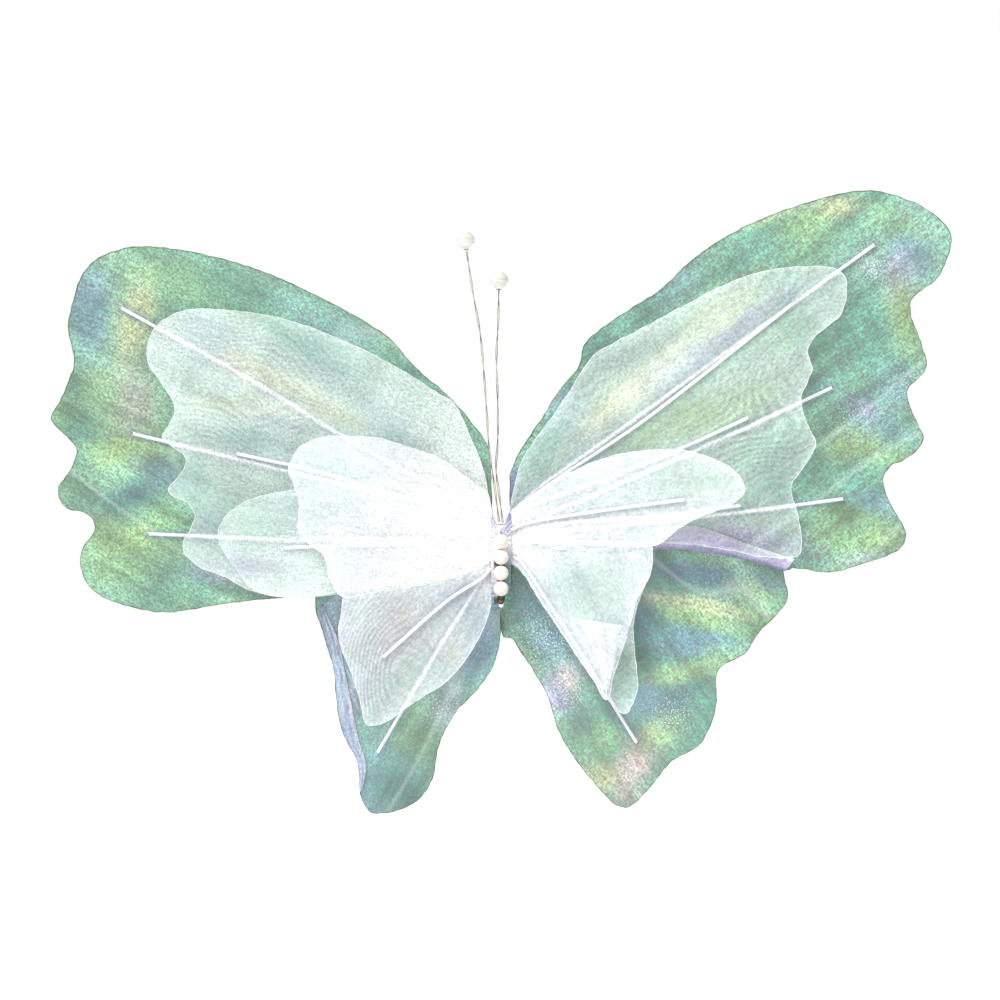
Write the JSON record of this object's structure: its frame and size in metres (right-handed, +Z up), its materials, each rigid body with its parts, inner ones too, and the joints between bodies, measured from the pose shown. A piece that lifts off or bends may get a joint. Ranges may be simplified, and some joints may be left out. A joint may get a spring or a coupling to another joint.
{
  "type": "fairy wings",
  "caption": "Layered organza butterfly wings with wired veins on a taped stem, a strung pearl body, bendable wire antennae and a rear felt pad, worn on the back with a costume.",
  "frame": {"origin": "centre of the back pad's rear face, level with the middle of the row of pearls", "axes": "+Z up along the stem, -Y out of the wings' front face with the pearls, +Y towards the wearer's back, +X to the right as the front is seen"},
  "size_m": [0.59, 0.047, 0.4098],
  "materials": {
    "iridescent_organza": "satin",
    "white_organza": "satin",
    "wrapped_wire": "satin",
    "pearl": "gloss",
    "gold_wire": "satin",
    "stem_tape": "matte",
    "stem": "matte",
    "felt": "matte"
  },
  "bodies": {
    "core": {"back_pad": "felt", "stem_core": "stem", "tape_wrap": "stem_tape", "pearl_string": "gold_wire", "body_pearl_1": "pearl", "body_pearl_2": "pearl", "body_pearl_3": "pearl", "body_pearl_4": "pearl"},
    "left_large_fore": {"left_large_forewing": "iridescent_organza", "left_large_forewing_vein_1": "wrapped_wire", "left_large_forewing_vein_2": "wrapped_wire", "left_large_forewing_vein_3": "wrapped_wire"},
    "left_large_hind": {"left_large_hindwing": "iridescent_organza", "left_large_hindwing_vein_1": "wrapped_wire"},
    "left_medium_fore": {"left_medium_forewing": "white_organza", "left_medium_forewing_vein_1": "wrapped_wire", "left_medium_forewing_vein_2": "wrapped_wire"},
    "left_medium_hind": {"left_medium_hindwing": "white_organza", "left_medium_hindwing_vein_1": "wrapped_wire"},
    "left_small_fore": {"left_small_forewing": "white_organza"},
    "left_small_hind": {"left_small_hindwing": "white_organza", "left_small_hindwing_vein_1": "wrapped_wire"},
    "right_large_fore": {"right_large_forewing": "iridescent_organza", "right_large_forewing_vein_1": "wrapped_wire", "right_large_forewing_vein_2": "wrapped_wire", "right_large_forewing_vein_3": "wrapped_wire", "right_large_forewing_vein_4": "wrapped_wire"},
    "right_large_hind": {"right_large_hindwing": "iridescent_organza", "right_large_hindwing_vein_1": "wrapped_wire"},
    "right_medium_fore": {"right_medium_forewing": "white_organza", "right_medium_forewing_vein_1": "wrapped_wire", "right_medium_forewing_vein_2": "wrapped_wire", "right_medium_forewing_vein_3": "wrapped_wire"},
    "right_medium_hind": {"right_medium_hindwing": "white_organza"},
    "right_small_fore": {"right_small_forewing": "white_organza", "right_small_forewing_vein_1": "wrapped_wire"},
    "right_small_hind": {"right_small_hindwing": "white_organza", "right_small_hindwing_vein_1": "wrapped_wire"},
    "left_antenna": {"left_antenna_wire": "gold_wire", "left_antenna_pearl": "pearl"},
    "right_antenna": {"right_antenna_wire": "gold_wire", "right_antenna_pearl": "pearl"}
  },
  "joints": [
    {"name": "left_wing_flap", "type": "hinge", "parent": "core", "child": "left_large_fore", "pos_m": [-0.0046, -0.012, 0.015], "axis": [0, 0, 1], "range_deg": [-15, 30]},
    {"name": "left_hindwing_sweep", "type": "hinge", "parent": "left_large_fore", "child": "left_large_hind", "pos_m": [-0.0061, -0.0052, -0.01], "axis": [0, 0, 1], "range_deg": [-15, 0]},
    {"name": "left_medium_forewing_lift", "type": "hinge", "parent": "left_large_fore", "child": "left_medium_fore", "pos_m": [-0.0061, -0.0082, 0.015], "axis": [0, 0, 1], "range_deg": [0, 5]},
    {"name": "left_medium_hindwing_lift", "type": "hinge", "parent": "left_medium_fore", "child": "left_medium_hind", "pos_m": [-0.0061, -0.0112, 0.01], "axis": [0, 0, 1], "range_deg": [0, 4]},
    {"name": "left_small_forewing_lift", "type": "hinge", "parent": "left_medium_hind", "child": "left_small_fore", "pos_m": [-0.0061, -0.0142, 0.015], "axis": [0, 0, 1], "range_deg": [0, 4]},
    {"name": "left_small_hindwing_lift", "type": "hinge", "parent": "left_large_hind", "child": "left_small_hind", "pos_m": [-0.0061, -0.0142, -0.01], "axis": [0, 0, 1], "range_deg": [0, 6]},
    {"name": "right_wing_flap", "type": "hinge", "parent": "core", "child": "right_large_fore", "pos_m": [0.0046, -0.012, 0.015], "axis": [0, 0, -1], "range_deg": [-15, 30]},
    {"name": "right_hindwing_sweep", "type": "hinge", "parent": "right_large_fore", "child": "right_large_hind", "pos_m": [0.0061, -0.0052, -0.01], "axis": [0, 0, -1], "range_deg": [-15, 0]},
    {"name": "right_medium_forewing_lift", "type": "hinge", "parent": "right_large_fore", "child": "right_medium_fore", "pos_m": [0.0061, -0.0082, 0.015], "axis": [0, 0, -1], "range_deg": [0, 5]},
    {"name": "right_small_forewing_lift", "type": "hinge", "parent": "right_medium_fore", "child": "right_small_fore", "pos_m": [0.0061, -0.0142, 0.015], "axis": [0, 0, -1], "range_deg": [0, 6]},
    {"name": "right_medium_hindwing_lift", "type": "hinge", "parent": "right_large_hind", "child": "right_medium_hind", "pos_m": [0.0061, -0.0112, -0.01], "axis": [0, 0, -1], "range_deg": [0, 4]},
    {"name": "right_small_hindwing_lift", "type": "hinge", "parent": "right_medium_hind", "child": "right_small_hind", "pos_m": [0.0061, -0.0142, -0.01], "axis": [0, 0, -1], "range_deg": [0, 4]},
    {"name": "left_antenna_bend", "type": "hinge", "parent": "core", "child": "left_antenna", "pos_m": [-0.0012, -0.012, 0.02725], "axis": [1, 0, 0], "range_deg": [-8, 25]},
    {"name": "right_antenna_bend", "type": "hinge", "parent": "core", "child": "right_antenna", "pos_m": [0.0012, -0.012, 0.02725], "axis": [1, 0, 0], "range_deg": [-8, 25]}
  ]
}
